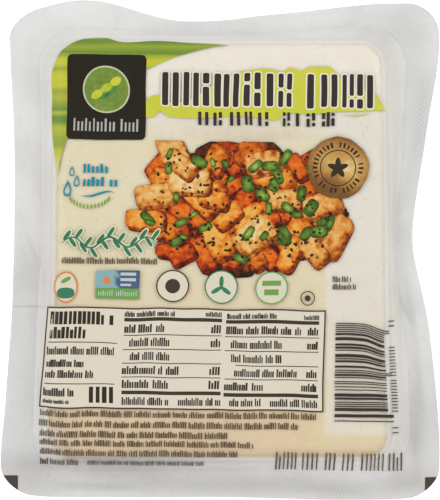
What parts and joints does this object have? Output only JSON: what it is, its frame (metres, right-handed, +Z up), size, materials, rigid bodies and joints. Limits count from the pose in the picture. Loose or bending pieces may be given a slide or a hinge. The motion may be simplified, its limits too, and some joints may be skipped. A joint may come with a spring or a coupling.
{
  "type": "vacuum-sealed tofu pack",
  "caption": "Rectangular block of firm tofu sealed under vacuum in clear film, lying face up, with a printed upper film and a flat crimped sealing flange all round.",
  "frame": {"origin": "on the floor under the middle of the pack, whose flat underside is at z = 0", "axes": "+X across the pack, +Y towards the top of the printed face, +Z up out of the printed face"},
  "size_m": [0.1208, 0.138, 0.04],
  "materials": {
    "film_over_tofu": "clear food film drawn tight over cream bean curd, satin gloss with soft wrinkles"
  },
  "bodies": {
    "root": {"sealed_tofu_pack": "film_over_tofu"}
  },
  "joints": []
}
